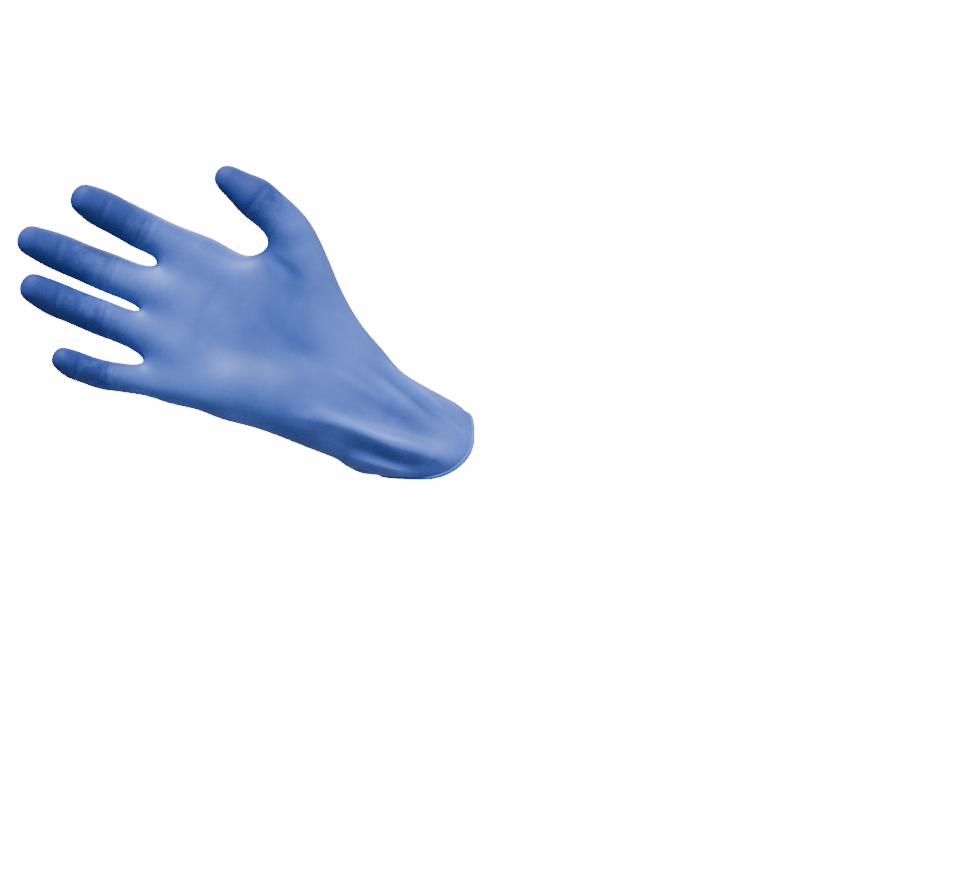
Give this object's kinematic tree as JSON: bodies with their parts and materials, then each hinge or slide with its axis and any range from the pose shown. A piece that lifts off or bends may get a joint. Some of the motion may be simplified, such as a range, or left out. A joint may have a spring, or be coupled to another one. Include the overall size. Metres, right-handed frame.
{
  "type": "nitrile exam glove",
  "caption": "Thin dipped nitrile glove shaped as on a right hand, fingers spread, with a long cuff and a rolled rim pulled to one side.",
  "frame": {"origin": "middle of the wrist, inside the glove, where the hand's wrist sits", "axes": "+Z along the hand towards the fingertips, +X towards the thumb's side, -Y out of the palm and +Y out of the back of the hand"},
  "size_m": [0.135, 0.0525, 0.2577],
  "materials": {
    "nitrile": "satin, finely textured at the fingertips"
  },
  "bodies": {
    "root": {"glove": "nitrile"}
  },
  "joints": []
}
